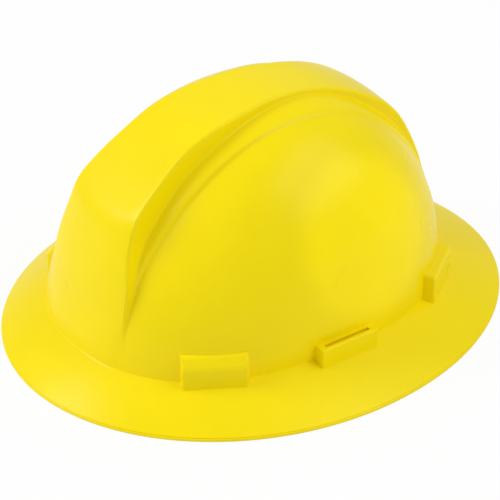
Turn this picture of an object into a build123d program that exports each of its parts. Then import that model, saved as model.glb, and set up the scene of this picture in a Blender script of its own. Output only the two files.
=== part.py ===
# Full brim hard hat: a moulded shell with a crest, a four-point strap suspension and a ratchet nape band.
# Millimetres. +Z is up, the front faces -Y and the wearer's left is +X.
# The origin lies on the floor under the middle of the brim.
from build123d import *
import math
import os

os.makedirs("parts", exist_ok=True)

# Brim: an oval plate that falls from the crown to a thin edge.
brim_half_width = 138
brim_front = 158.5
brim_rear = 170.9
brim_edge = 2.2
brim_thickness = 3
brim_drop = 17.8
brim_bow = 0.8
brim_power = 2

# Crown: the smooth dome, measured from its widest station at the crease with the brim.
crown_half_width = 97.8
crown_front = 125.2
crown_rear = 120.4
crown_height = 131
crown_ahead = 0.7
crown_lean = 14.5
crown_power = 2.35
crown_side_roundness = 2.25
crown_front_roundness = 1.85
crown_rear_roundness = 1.88
wall = 2.8

# Band: a low step each side of the crest, proud of the dome.
band_half_width = 37
band_rise = 1.2
band_lip = 0.5
band_front_roundness = 1.95
band_rear_roundness = 1.91

# Crest: the central rib with a steep front panel.
crest_half_width = 21
crest_height = 131.3
crest_edge = 3
panel_inset = 2.4
panel_height = 175
panel_rear = 130

# Suspension bosses outside the crown: the middle of the outer face, where it faces, its length and tops.
front_boss_x = 85.5
front_boss_y = -88.3
front_boss_facing = 60.7
front_boss_length = 32.5
front_boss_reach = 7.5
front_boss_top = 31
front_boss_rise = 9
rear_boss_x = 79
rear_boss_y = 85.3
rear_boss_facing = 126
rear_boss_length = 40
rear_boss_reach = 8.75
rear_boss_top = 32.5
rear_boss_rise = 1.5
boss_foot = 11
boss_edge = 2.4
boss_wall = 2.2
pocket_depth = 4.5
pocket_length = 26
pocket_top = 28.5

# Accessory slots, one on each side of the crown.
slot_boss_length = 41
slot_boss_y = -5.9
slot_boss_x = 105
slot_boss_top = 29.6
slot_boss_edge = 1.2
slot_length = 32
slot_width = 3.2
slot_outer_wall = 2.2

# Hangers: hooks that pass under the crown's lower edge and up into the bosses.
fit_gap = 0.25
soft_gap = 0.3
hanger_foot = 8.5
hanger_bridge = 3.8
front_stand_off = 4.7
rear_stand_off = 9.8
hanger_plate = 2.5
hanger_width = 24
hanger_top = 48
front_bar_across = 24
rear_bar_across = 26
yoke_ledge = 3
yoke_ledge_reach = 6.5
yoke_post = 4
yoke_arm = 3
bar_radius = 1.5
bar_level = 56

# Crown straps: flat webbing, looped round the hanger bars and crossing over the head.
strap_width = 18
strap_thickness = 1.2
strap_rise = 56
strap_crossing = 1.8
loop_radius = 3

# Crown pad: a round soft pad under the crossing.
pad_radius = 30
pad_thickness = 5
pad_bend = 138

# Ratchet: two toothed arms that slide round a shared centre, driven by one pinion.
nape_level = 24
arm_inner_radius = 81
arm_thickness = 1.2
arm_gap = 0.4
arm_width = 23
arm_tip_angle = 12
arm_end_angle = 4.5
pinion_teeth = 12
pinion_radius = 6
tooth_above = 0.8
tooth_below = 1
tooth_tip = 0.7
tooth_root = 1.5
slot_relief = 0.5
ratchet_travel = 28
rack_spare_angle = 8
shaft_radius = 3
running_gap = 0.05
arm_hole_radius = 4.4
stud_head_radius = 6.2
stud_head_thickness = 1.5
stud_inner_radius = 5.4

# Headband: a plastic strip, oval in front and round behind, open at the nape.
band_station = 4
band_front = 121
strip_clear = 1.2
strip_thickness = 1.6
strip_bottom = 9
strip_height = 30
strip_open_angle = 34
height_travel = 4
lug_width = 4.4
lug_height = 5
lug_level = 19
lug_button = 9
lug_button_thickness = 1.3

# Brow pad: a soft sweatband inside the front of the headband.
brow_thickness = 6
brow_height = 31
brow_bottom = 8.2
brow_back = -58
brow_edge = 2.4

# Housing round the pinion, with a collar for the detent.
housing_half_angle = 21
housing_plate = 3
housing_bottom = 8
housing_height = 32
housing_rim = 4
channel_gap = 0.4
collar_radius = 17
collar_stand = 1.8
collar_floor = 1.8
detent_outer_radius = 15
detent_inner_radius = 12.6
detent_tooth = 0.8
detent_count = 24
detent_thickness = 2.6
screw_radius = 1
screw_head_radius = 1.9
screw_head_height = 1.4
screw_length = 6
screw_angle = 15

# Knob, its screw and the click spring under it.
knob_radius = 18
knob_gap = 0.5
knob_depth = 11
knob_skin = 2.2
knob_hub_radius = 5.5
knob_flutes = 14
flute_radius = 1.8
spring_radius = 11.4
spring_band = 1.6
spring_thickness = 1.2
spring_spoke = 3
spring_slit = 1
knob_screw_radius = 1.4
knob_screw_head = 3.6
knob_screw_head_height = 1.6
knob_screw_length = 9

# Nape pad: a soft pad inside the housing.
nape_pad_thickness = 5
nape_pad_margin = 1
nape_pad_edge = 1.8

# One overrun serves all cuts, and all ovals have the same number of points.
overrun = 5
oval_steps = 32
dome_sections = 9
dome_close_angle = 86

# The crest's top line: shares of the crown's reach ahead (negative) or behind, and of the crest's height.
crest_line_shares = [
    (-1.02, 0.475), (-0.857, 0.606), (-0.653, 0.787), (-0.514, 0.882), (-0.4, 0.941), (-0.289, 0.966),
    (-0.167, 0.986), (-0.048, 0.996), (0.076, 1), (0.199, 0.988), (0.32, 0.968), (0.439, 0.931),
    (0.542, 0.881), (0.73, 0.762), (0.855, 0.618), (0.937, 0.457), (0.917, 0.33),
]
# The crest's half-width: shares of the crown's reach, and of the crest's half-width at the top.
crest_plan_shares = [
    (-1.03, 1.95), (-0.81, 1.545), (-0.653, 1.395), (-0.5, 1.27), (-0.29, 1.22), (-0.11, 1.13), (0.013, 1.057),
    (0.14, 1.014), (0.26, 0.995), (0.38, 1.014), (0.49, 1.1), (0.68, 1.27), (1.02, 1.5),
]

# Stations, levels and radii that follow from the sizes above.
brim_station = (brim_front - brim_rear) / 2
crown_station = brim_station - crown_ahead
crease_level = brim_edge + brim_drop
left_radius = arm_inner_radius + arm_thickness / 2
right_radius = left_radius + arm_thickness + arm_gap
left_turn = math.degrees(ratchet_travel / left_radius)
right_turn = math.degrees(ratchet_travel / right_radius)
stud_y = band_station - left_radius * math.sin(math.radians(left_turn) / 2)
channel_inner = arm_inner_radius - channel_gap
channel_outer = right_radius + arm_thickness / 2 + channel_gap
base_inner = channel_inner - housing_plate
cover_outer = channel_outer + housing_plate
collar_face = cover_outer + collar_stand
detent_face = channel_outer + collar_floor
knob_start = collar_face + knob_gap
knob_face = knob_start + knob_depth
shaft_end = knob_face - knob_screw_head_height - knob_skin / 2
strip_side = right_radius + arm_thickness / 2 + strip_clear + strip_thickness


def oval(half_width, front, rear, power, station, level):
    """A closed superellipse at one level, with its own reach ahead of and behind the station."""
    points = []
    for step in range(oval_steps):
        turn = math.tau * step / oval_steps
        side = math.sin(turn)
        back = math.cos(turn)
        scale = (abs(side) ** power + abs(back) ** power) ** (-1 / power)
        length = rear if back > 0 else front
        points.append(Vector(half_width * side * scale, station + length * back * scale, level))
    return Wire([Edge.make_spline(points, periodic=True)])


def prism(wire, depth):
    """The solid that a level outline sweeps upwards by depth, or downwards if depth is negative."""
    return Solid.extrude(Face(wire), Vector(0, 0, depth))


def block(low, high):
    """A box between two corners."""
    size = [high[axis] - low[axis] for axis in range(3)]
    return Solid.make_box(*size).moved(Location(low))


def common(first, second):
    """The one solid that two forms share."""
    return first.intersect(second).solids()[0]


def drum(radius, start, end, x=0, z=nape_level):
    """A cylinder along Y between two distances behind the headband's station."""
    base = Plane(origin=(x, band_station + start, z), x_dir=(1, 0, 0), z_dir=(0, 1, 0))
    return Solid.make_cylinder(radius, end - start, base)


def sector(inner, outer, low_angle, high_angle, bottom, top):
    """Part of a ring round the nape's centre; angles run from the rear towards the wearer's left."""
    corners = []
    for radius, angles in ((inner, (low_angle, high_angle)), (outer, (high_angle, low_angle))):
        for share in (0, 0.5, 1):
            angle = math.radians(angles[0] + (angles[1] - angles[0]) * share)
            corners.append((radius * math.sin(angle), band_station + radius * math.cos(angle), bottom))
    edges = [
        Edge.make_three_point_arc(*corners[:3]),
        Edge.make_line(corners[2], corners[3]),
        Edge.make_three_point_arc(*corners[3:]),
        Edge.make_line(corners[5], corners[0]),
    ]
    return prism(Wire(edges), top - bottom)


def slab(place, outline, width):
    """An outline drawn across and up in a plane, made as wide as given about that plane."""
    start = place.offset(-width / 2)
    points = [start.from_local_coords(Vector(across, up, 0)) for across, up in outline]
    return Solid.extrude(Face(Wire.make_polygon(points)), place.z_dir * width)


def oblong(low_across, low_up, high_across, high_up):
    """The corners of a rectangle in a plane."""
    return [(low_across, low_up), (high_across, low_up), (high_across, high_up), (low_across, high_up)]


def upright_plane(x, y, level, across):
    """A plane whose first axis points across, level, and whose second points up."""
    return Plane(origin=(x, y, level), x_dir=across, z_dir=(across[1], -across[0], 0))


def boss_plane(x, y, facing):
    """The plane through a boss's middle: across runs inwards from its outer face."""
    turn = math.radians(facing)
    return upright_plane(x, y, 0, (-math.sin(turn), math.cos(turn), 0))


def mirrored(shape):
    """The same shape on the wearer's other side."""
    return shape.mirror(Plane.YZ)


def save(name, *shapes):
    """Write one piece under its own name."""
    solids = [solid for shape in shapes for solid in shape.solids()]
    piece = solids[0] if len(solids) == 1 else Compound(solids)
    piece.label = name
    export_step(piece, f"parts/{name}.step")


# The crown's forms, each drawn in by an inset: nothing for the outer skin, the wall for the cavity.
def dome(half_width, front, rear, height, roundness, lean, foot):
    """A dome of ovals over a straight foot."""
    rings = []
    for step in range(dome_sections + 1):
        share = math.sin(math.radians(dome_close_angle * step / dome_sections))
        ahead, aside, behind = [(1 - share ** power) ** (1 / power) for power in roundness]
        rings.append(oval(half_width * aside, front * ahead, rear * behind, crown_power,
                          crown_station + lean * share, crease_level + height * share))
    return Solid.make_loft(rings).fuse(prism(rings[0], -foot))


def crown_dome(inset, foot):
    return dome(crown_half_width - inset, crown_front - inset, crown_rear - inset, crown_height - inset,
                (crown_front_roundness, crown_side_roundness, crown_rear_roundness), crown_lean, foot)


def crown_band(foot):
    form = dome(crown_half_width + band_lip, crown_front + band_lip, crown_rear + band_lip,
                crown_height + band_rise,
                (band_front_roundness, crown_side_roundness, band_rear_roundness), crown_lean, foot)
    return common(form, block((-band_half_width, -brim_rear, 0), (band_half_width, brim_rear, crest_height * 2)))


def crest_place(share):
    """Distance along Y for a share of the crown's reach, ahead or behind."""
    return crown_station + share * (crown_front if share < 0 else crown_rear)


def crown_crest(inset, foot):
    floor = crease_level - foot
    line = [Vector(-brim_half_width, crest_place(along), crease_level + crest_height * up - inset)
            for along, up in crest_line_shares]
    front_foot = Vector(-brim_half_width, line[0].Y, floor)
    rear_foot = Vector(-brim_half_width, line[-1].Y, floor)
    side_view = Face(Wire([Edge.make_spline(line), Edge.make_line(line[-1], rear_foot),
                           Edge.make_line(rear_foot, front_foot), Edge.make_line(front_foot, line[0])]))
    profile = Solid.extrude(side_view, Vector(2 * brim_half_width, 0, 0))
    left = [Vector(crest_half_width * wide - inset, crest_place(along), floor) for along, wide in crest_plan_shares]
    right = [Vector(-point.X, point.Y, floor) for point in left]
    plan = Wire([Edge.make_spline(left), Edge.make_line(left[-1], right[-1]),
                 Edge.make_spline(right), Edge.make_line(right[0], left[0])])
    walls = prism(plan, crest_height + foot + overrun)
    panel = dome(crown_half_width - inset, crown_front - panel_inset - inset, panel_rear, panel_height,
                 (crown_front_roundness, crown_side_roundness, crown_front_roundness), 0, foot)
    return common(common(profile, walls), panel)


def brim_form(drop):
    """The space under the brim's upper skin, lowered by a drop."""
    rings = []
    for share in (0, 0.5, 1):
        level = brim_edge + brim_drop * share + brim_bow * 4 * share * (1 - share) - drop
        sizes = [outer - drop + (inner - outer + drop) * share for outer, inner in (
            (brim_half_width, crown_half_width), (brim_front, crown_front), (brim_rear, crown_rear),
        )]
        power = brim_power + (crown_power - brim_power) * share
        station = brim_station + (crown_station - brim_station) * share
        rings.append(oval(*sizes, power, station, level))
    return rings


def boss(place, length, reach, top, rise):
    """A housing for a hanger's key: upright outside, sloping up to the crown, with soft outer edges."""
    inner = reach + wall / 2
    outline = [(0, boss_foot), (inner, boss_foot), (inner, top + rise), (0, top)]
    form = slab(place, outline, length)
    outer_edges = [edge for edge in form.edges() if place.to_local_coords(edge.center()).X < inner - boss_edge
                   and edge.center().Z > boss_foot]
    return form.fillet(boss_edge, outer_edges)


def pocket(place):
    """The space for a hanger's key, open below."""
    return slab(place, oblong(boss_wall, -overrun, boss_wall + pocket_depth, pocket_top), pocket_length)


front_place = boss_plane(front_boss_x, front_boss_y, front_boss_facing)
rear_place = boss_plane(rear_boss_x, rear_boss_y, rear_boss_facing)


# Shell: crown, brim and bosses, hollowed from below.
def make_shell():
    crest = crown_crest(0, brim_thickness)
    panel_edges = [edge for edge in crest.edges() if edge.center().Y < -crown_front / 2
                   and edge.center().Z > crease_level + crest_edge]
    crest = crest.fillet(crest_edge, panel_edges)
    brim_rings = brim_form(0)
    brim = Solid.make_loft(brim_rings).fuse(prism(brim_rings[0], -brim_edge))
    front = boss(front_place, front_boss_length, front_boss_reach, front_boss_top, front_boss_rise)
    rear = boss(rear_place, rear_boss_length, rear_boss_reach, rear_boss_top, rear_boss_rise)
    side = block((crown_half_width - wall / 2, slot_boss_y - slot_boss_length / 2, boss_foot),
                 (slot_boss_x, slot_boss_y + slot_boss_length / 2, slot_boss_top))
    side_edges = [edge for edge in side.edges() if edge.center().X > crown_half_width
                  and edge.center().Z > boss_foot]
    side = side.fillet(slot_boss_edge, side_edges)
    shell = crown_dome(0, brim_thickness).fuse(crown_band(brim_thickness)).fuse(crest).fuse(brim)
    for form in (front, rear, side):
        shell = shell.fuse(form, mirrored(form))
    depth = crease_level + overrun
    shell = shell.cut(crown_dome(wall, depth).fuse(crown_crest(wall, depth)))
    shell = shell.cut(Solid.make_loft(brim_form(brim_thickness)))
    slot_outer = slot_boss_x - slot_outer_wall
    slot = block((slot_outer - slot_width, slot_boss_y - slot_length / 2, -overrun),
                 (slot_outer, slot_boss_y + slot_length / 2, slot_boss_top + overrun))
    cuts = [slot, pocket(front_place), pocket(rear_place)]
    return shell.cut(*cuts, *[mirrored(cut) for cut in cuts])


# Strap planes: each runs level from a front bar to the rear bar on the other side.
front_plate_middle = front_boss_reach + wall + front_stand_off + hanger_plate / 2
rear_plate_middle = rear_boss_reach + wall + rear_stand_off + hanger_plate / 2
front_bar = front_place.from_local_coords(Vector(front_bar_across, bar_level, 0))
rear_bar = rear_place.from_local_coords(Vector(rear_bar_across, bar_level, 0))
strap_line = Vector(-rear_bar.X, rear_bar.Y, bar_level) - front_bar
strap_across = tuple(strap_line.normalized())
rear_across = (strap_across[0], -strap_across[1], 0)
crossing_y = front_bar.Y + strap_line.Y * front_bar.X / (front_bar.X + rear_bar.X)


# Hangers: a key for the boss, a bridge under the crown's edge, a plate for the headband's lug and a strap bar.
def hanger(place, plate_middle, bar_across, bar, across):
    key_outer = boss_wall + fit_gap
    key_inner = boss_wall + pocket_depth - fit_gap
    plate_outer = plate_middle - hanger_plate / 2
    plate_inner = plate_middle + hanger_plate / 2
    bridge_top = hanger_foot + hanger_bridge
    body = slab(place, oblong(key_outer, hanger_foot, key_inner, pocket_top - fit_gap), pocket_length - 2 * fit_gap)
    body = body.fuse(slab(place, oblong(key_outer, hanger_foot, plate_inner, bridge_top), hanger_width))
    body = body.fuse(slab(place, oblong(plate_outer, hanger_foot, plate_inner, hanger_top), hanger_width))
    lug_low = lug_level - lug_height / 2 - fit_gap
    lug_high = lug_level + height_travel + lug_height / 2 + fit_gap
    lug_slot = oblong(plate_outer - overrun, lug_low, plate_inner + overrun, lug_high)
    body = body.cut(slab(place, lug_slot, lug_width + 2 * fit_gap))
    arm_middle = (strap_width + yoke_arm) / 2 + soft_gap
    ledge = oblong(plate_outer, hanger_top - hanger_plate / 2, bar_across + yoke_ledge_reach, hanger_top + yoke_ledge)
    body = body.fuse(slab(place, ledge, 2 * arm_middle + yoke_arm))
    yoke_place = upright_plane(bar.X, bar.Y, 0, across)
    for side in (-arm_middle, arm_middle):
        post = oblong(-yoke_post / 2, hanger_top, yoke_post / 2, bar_level + loop_radius)
        body = body.fuse(slab(yoke_place.offset(side), post, yoke_arm))
    bar_plane = Plane(origin=tuple(bar), x_dir=across, z_dir=yoke_place.z_dir).offset(-arm_middle)
    return body.fuse(Solid.make_cylinder(bar_radius, 2 * arm_middle, bar_plane))


# Crown straps: webbing in two quarter ellipses that meet over the head, with a sewn loop round each bar.
def crown_strap(rise):
    ahead = strap_line.length * front_bar.X / (front_bar.X + rear_bar.X)
    behind = strap_line.length - ahead
    place = upright_plane(0, crossing_y, bar_level, strap_across)
    start = place.offset(-strap_width / 2)
    inset = loop_radius - strap_thickness / 2 - running_gap
    skins = [half_ellipse(start, ahead - inset + skin, behind - inset + skin, rise + skin)
             for skin in (strap_thickness / 2, -strap_thickness / 2)]
    outer, inner = skins
    webbing = Face(Wire([outer, Edge.make_line(outer @ 1, inner @ 1), inner, Edge.make_line(inner @ 0, outer @ 0)]))
    strap = Solid.extrude(webbing, place.z_dir * strap_width)
    for end in (-ahead, behind):
        ring_plane = Plane(origin=start.from_local_coords(Vector(end, 0, 0)), x_dir=place.x_dir, z_dir=place.z_dir)
        ring = Solid.make_cylinder(loop_radius, strap_width, ring_plane)
        strap = strap.fuse(ring).cut(Solid.make_cylinder(loop_radius - strap_thickness, strap_width, ring_plane))
    return strap


def half_ellipse(place, ahead, behind, rise):
    """An arch over a plane's origin, with its own reach each way."""
    points = []
    for step in range(oval_steps + 1):
        turn = math.pi * step / oval_steps
        reach = behind if step < oval_steps / 2 else ahead
        points.append(place.from_local_coords(Vector(reach * math.cos(turn), rise * math.sin(turn), 0)))
    up = Vector(0, 0, 1)
    return Edge.make_spline(points, tangents=[up, -up])


# Crown pad: a round cushion bent to the straps' curve, with a soft rim.
def make_crown_pad():
    top = bar_level + strap_rise - strap_thickness / 2 - soft_gap
    centre = top - pad_bend
    arc_ends = []
    for radius in (pad_bend, pad_bend - pad_thickness):
        lean = math.asin(pad_radius / pad_bend)
        arc = [(radius * math.sin(lean * share), crossing_y, centre + radius * math.cos(lean * share))
               for share in (0, 0.5, 1)]
        arc_ends.append(arc)
    upper, lower = arc_ends
    rim_radius = pad_bend - pad_thickness / 2
    rim_lean = lean + pad_thickness / 2 / rim_radius
    rim = (rim_radius * math.sin(rim_lean), crossing_y, centre + rim_radius * math.cos(rim_lean))
    outline = Wire([
        Edge.make_three_point_arc(*upper),
        Edge.make_three_point_arc(upper[2], rim, lower[2]),
        Edge.make_three_point_arc(*lower[::-1]),
        Edge.make_line(lower[0], upper[0]),
    ])
    axis = Axis((0, crossing_y, 0), (0, 0, 1))
    return Solid.revolve(Face(outline), 360, axis)


# Headband: the strip and its four lugs, cut back to the strip's inner face.
def strip_outline(inset, level):
    """The strip's plan as a closed outline, drawn in by an inset: an oval front and a round back."""
    front_half = []
    for step in range(oval_steps + 1):
        turn = math.pi * (step / oval_steps - 1 / 2)
        side = math.sin(turn)
        ahead = math.cos(turn)
        scale = (abs(side) ** crown_power + abs(ahead) ** crown_power) ** (-1 / crown_power)
        front_half.append(Vector((strip_side - inset) * side * scale,
                                 band_station - (band_front - inset) * ahead * scale, level))
    front_edge = Edge.make_spline(front_half, tangents=[Vector(0, -1, 0), Vector(0, 1, 0)])
    radius = strip_side - inset
    rear_middle = (0, band_station + radius, level)
    rear_edge = Edge.make_three_point_arc(front_half[-1], rear_middle, front_half[0])
    return Wire([front_edge, rear_edge])


def strip_form(inset, bottom, top):
    """Everything inside the strip's plan between two levels."""
    return prism(strip_outline(inset, bottom), top - bottom)


def lug(place, plate_middle):
    """A neck through a hanger's slot, with a button outside it."""
    plate_outer = plate_middle - hanger_plate / 2
    button_inner = plate_outer - fit_gap
    button_outer = button_inner - lug_button_thickness
    reach = plate_middle + strip_side / 4
    low = lug_level - lug_height / 2
    neck = slab(place, oblong(button_outer, low, reach, low + lug_height), lug_width)
    button_low = lug_level - lug_button / 2
    return neck.fuse(slab(place, oblong(button_outer, button_low, button_inner, button_low + lug_button), lug_button))


def make_headband():
    strip_top = strip_bottom + strip_height
    band = strip_form(0, strip_bottom, strip_top)
    for shape in (lug(front_place, front_plate_middle), lug(rear_place, rear_plate_middle)):
        band = band.fuse(shape, mirrored(shape))
    band = band.cut(strip_form(strip_thickness, strip_bottom - overrun, strip_top + overrun))
    band = band.cut(sector(strip_side / 2, strip_side + overrun, -strip_open_angle, strip_open_angle,
                           strip_bottom - overrun, strip_top + overrun))
    hole = side_pin(shaft_radius + running_gap, strip_side / 2, strip_side + overrun)
    return band.cut(hole, mirrored(hole))


def make_brow_pad():
    outer = strip_thickness + soft_gap
    top = brow_bottom + brow_height
    pad = strip_form(outer, brow_bottom, top)
    pad = pad.cut(strip_form(outer + brow_thickness, brow_bottom - overrun, top + overrun))
    pad = common(pad, block((-strip_side, band_station - band_front, 0), (strip_side, brow_back, top + overrun)))
    return pad.fillet(brow_edge, pad.edges())


# Side studs: each joins the headband to an arm and lets the nape strap tilt.
def side_pin(radius, start, end):
    """A cylinder along X at the studs' place."""
    base = Plane(origin=(start, stud_y, nape_level), x_dir=(0, 1, 0), z_dir=(1, 0, 0))
    return Solid.make_cylinder(radius, end - start, base)


def make_stud(radius):
    """A stud for the arm of one radius: its inner head just clears that arm all through the travel."""
    forward = band_station - stud_y + stud_inner_radius
    inner_end = math.sqrt((radius - arm_thickness / 2) ** 2 - forward ** 2) - soft_gap
    inner_start = inner_end - stud_head_thickness
    head_start = strip_side + running_gap
    stud = side_pin(shaft_radius, inner_start, head_start + stud_head_thickness)
    stud = stud.fuse(side_pin(stud_inner_radius, inner_start, inner_end))
    return stud.fuse(side_pin(stud_head_radius, head_start, head_start + stud_head_thickness))


# Arms: curved strips with a toothed slot. Up is 1 for a rack above the pinion and -1 for one below.
def arm(radius, turn, up):
    inner = radius - arm_thickness / 2
    outer = radius + arm_thickness / 2
    end_angle = 90 + turn / 2 + arm_end_angle
    strip = sector(inner, outer, -arm_tip_angle, end_angle, nape_level - arm_width / 2, nape_level + arm_width / 2)
    tips = nape_level + up * (pinion_radius - tooth_above)
    roots = nape_level + up * (pinion_radius + tooth_below)
    far = nape_level - up * (pinion_radius + tooth_above + slot_relief)
    pitch_angle = 360 / pinion_teeth * pinion_radius / radius
    first = -math.floor(rack_spare_angle / pitch_angle)
    last = math.ceil(turn / pitch_angle) - first
    low_angle = (first - 1 / 2) * pitch_angle
    high_angle = (last + 1 / 2) * pitch_angle
    strip = strip.cut(sector(inner - overrun, outer + overrun, low_angle, high_angle, min(tips, far), max(tips, far)))
    pitch = math.tau * pinion_radius / pinion_teeth
    half_open = (pitch - tooth_tip) / 2
    half_root = (pitch - tooth_root) / 2
    notches = []
    for place in range(first, last + 1):
        angle = math.radians(place * pitch_angle)
        across = (math.cos(angle), -math.sin(angle), 0)
        notch_plane = upright_plane(radius * math.sin(angle), band_station + radius * math.cos(angle), 0, across)
        outline = [(-half_open, tips), (half_open, tips), (half_root, roots), (-half_root, roots)]
        notches.append(slab(notch_plane, outline, 2 * arm_thickness))
    strip = strip.cut(*notches)
    return strip.cut(side_pin(arm_hole_radius, strip_side / 2, strip_side))


# Pinion: twelve teeth and a plain shaft, with a journal in the housing's base.
def make_pinion():
    start = channel_inner + soft_gap
    end = channel_outer - running_gap - pinion_radius ** 2 / channel_outer
    root = pinion_radius - tooth_below
    pinion = drum(root, start, end)
    middle = (start + end) / 2
    for place in range(pinion_teeth):
        angle = math.tau * place / pinion_teeth
        turned = Plane(origin=(0, band_station + middle, nape_level), x_dir=(math.cos(angle), 0, math.sin(angle)),
                       z_dir=(0, -1, 0))
        tooth = slab(turned, [(-tooth_root / 2, root - running_gap), (tooth_root / 2, root - running_gap),
                              (tooth_tip / 2, pinion_radius + tooth_above),
                              (-tooth_tip / 2, pinion_radius + tooth_above)], end - start)
        pinion = pinion.fuse(tooth)
    pinion = pinion.fuse(drum(shaft_radius, base_inner + running_gap, shaft_end))
    return pinion.cut(drum(knob_screw_radius + running_gap, knob_face - knob_screw_length - fit_gap, knob_face))


# Housing: a base with rims for the arms to slide in, and a cover with a collar.
def screw_hole(radius, angle, level, start, end):
    """A cylinder that points at the nape's centre, between two radii."""
    turn = math.radians(angle)
    outwards = (math.sin(turn), math.cos(turn), 0)
    base = Plane(origin=(start * outwards[0], band_station + start * outwards[1], level), z_dir=outwards)
    return Solid.make_cylinder(radius, end - start, base)


housing_top = housing_bottom + housing_height
screw_places = [(angle, level) for angle in (-screw_angle, screw_angle)
                for level in (housing_bottom + housing_rim / 2, housing_top - housing_rim / 2)]
screw_seat = cover_outer - screw_head_height


def make_housing_base():
    angle = housing_half_angle
    base = sector(base_inner, channel_inner, -angle, angle, housing_bottom, housing_top)
    for bottom in (housing_bottom, housing_top - housing_rim):
        base = base.fuse(sector(channel_inner, channel_outer, -angle, angle, bottom, bottom + housing_rim))
    holes = [screw_hole(screw_radius + running_gap, *place, screw_seat - screw_length - fit_gap, cover_outer)
             for place in screw_places]
    return base.cut(drum(shaft_radius + running_gap, base_inner - overrun, channel_outer), *holes)


def make_housing_cover():
    angle = housing_half_angle
    cover = sector(channel_outer, cover_outer, -angle, angle, housing_bottom, housing_top)
    collar = drum(collar_radius, detent_face - collar_floor / 2, collar_face)
    cover = cover.fuse(collar)
    holes = [screw_hole(screw_radius + running_gap, *place, base_inner, cover_outer) for place in screw_places]
    seats = [screw_hole(screw_head_radius + running_gap, *place, screw_seat, cover_outer + overrun)
             for place in screw_places]
    return cover.cut(drum(detent_outer_radius + running_gap, detent_face, collar_face + overrun),
                     drum(shaft_radius + running_gap, base_inner, collar_face), *holes, *seats)


def make_housing_screws():
    screws = []
    for place in screw_places:
        shank = screw_hole(screw_radius, *place, screw_seat - screw_length, screw_seat)
        screws.append(shank.fuse(screw_hole(screw_head_radius, *place, screw_seat, cover_outer)))
    return screws


def make_nape_pad():
    outer = base_inner - soft_gap
    angle = housing_half_angle - math.degrees(nape_pad_margin / base_inner)
    pad = sector(outer - nape_pad_thickness, outer, -angle, angle, housing_bottom + nape_pad_margin,
                 housing_top - nape_pad_margin)
    return pad.fillet(nape_pad_edge, pad.edges())


def round_places(count, radius):
    """Places across and up, evenly spaced round the pinion's axis."""
    turns = [math.tau * place / count for place in range(count)]
    return [(radius * math.cos(turn), nape_level + radius * math.sin(turn)) for turn in turns]


# Detent ring: fixed in the collar, scalloped inside for the click spring.
def make_detent_ring():
    start = detent_face + running_gap
    ring = drum(detent_outer_radius, start, start + detent_thickness)
    scallops = [drum(detent_tooth, detent_face, collar_face, x, z)
                for x, z in round_places(detent_count, detent_inner_radius)]
    return ring.cut(drum(detent_inner_radius, detent_face, collar_face), *scallops)


# Click spring: a thin slit ring on two spokes, with a nub on each arm that rides over the scallops.
def make_click_spring():
    start = detent_face + soft_gap
    end = start + spring_thickness
    spring = drum(spring_radius, start, end).cut(drum(spring_radius - spring_band, detent_face, collar_face))
    spoke = block((-spring_spoke / 2, band_station + start, nape_level - spring_radius + spring_band / 2),
                  (spring_spoke / 2, band_station + end, nape_level + spring_radius - spring_band / 2))
    spring = spring.fuse(spoke, drum(knob_hub_radius, start, end))
    nub_radius = (detent_inner_radius - spring_radius) / 2 + running_gap
    nub_place = detent_inner_radius - fit_gap - nub_radius
    for x, z in round_places(2, nub_place):
        spring = spring.fuse(drum(nub_radius, start, end, x, z))
    slit_middle = spring_spoke / 2 + spring_slit
    for side in (-1, 1):
        middle = side * slit_middle
        levels = sorted((nape_level + side * spring_radius / 2, nape_level + side * (spring_radius + overrun)))
        spring = spring.cut(block((middle - spring_slit / 2, band_station + detent_face, levels[0]),
                                  (middle + spring_slit / 2, band_station + collar_face, levels[1])))
    return spring.cut(drum(shaft_radius + running_gap, detent_face, collar_face))


# Knob: a fluted cap with a hub on the pinion's shaft, held by a screw.
def make_knob():
    recess_radius = knob_radius - flute_radius - knob_skin
    recess_end = knob_face - knob_screw_head_height - knob_skin
    hub_start = detent_face + soft_gap + spring_thickness + running_gap
    flutes = [drum(flute_radius, knob_start - overrun, knob_face + overrun, x, z)
              for x, z in round_places(knob_flutes, knob_radius)]
    knob = drum(knob_radius, knob_start, knob_face).cut(drum(recess_radius, knob_start - overrun, recess_end))
    knob = knob.fuse(drum(knob_hub_radius, hub_start, recess_end)).cut(*flutes)
    return knob.cut(drum(shaft_radius + running_gap, hub_start, shaft_end + running_gap),
                    drum(knob_screw_radius + running_gap, hub_start, knob_face),
                    drum(knob_screw_head + running_gap, knob_face - knob_screw_head_height, knob_face + overrun))


def make_knob_screw():
    head = drum(knob_screw_head, knob_face - knob_screw_head_height + running_gap, knob_face)
    return head.fuse(drum(knob_screw_radius, knob_face - knob_screw_length, knob_face - knob_screw_head_height / 2))


# Pieces, from the outside in; each right-hand piece mirrors the left one.
save("shell", make_shell())
front_hanger = hanger(front_place, front_plate_middle, front_bar_across, front_bar, strap_across)
rear_hanger = hanger(rear_place, rear_plate_middle, rear_bar_across, rear_bar, rear_across)
save("front_left_hanger", front_hanger)
save("front_right_hanger", mirrored(front_hanger))
save("rear_left_hanger", rear_hanger)
save("rear_right_hanger", mirrored(rear_hanger))
save("crown_strap_left", crown_strap(strap_rise))
save("crown_strap_right", mirrored(crown_strap(strap_rise + strap_crossing)))
save("crown_pad", make_crown_pad())
save("headband", make_headband())
save("brow_pad", make_brow_pad())
save("left_stud", make_stud(left_radius))
save("right_stud", mirrored(make_stud(right_radius)))
save("left_arm", arm(left_radius, left_turn, 1))
save("right_arm", mirrored(arm(right_radius, right_turn, -1)))
save("housing_base", make_housing_base())
save("housing_cover", make_housing_cover())
save("housing_screws", *make_housing_screws())
save("nape_pad", make_nape_pad())
save("detent_ring", make_detent_ring())
save("click_spring", make_click_spring())
save("pinion", make_pinion())
save("adjusting_knob", make_knob())
save("knob_screw", make_knob_screw())
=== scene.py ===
import math

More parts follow.
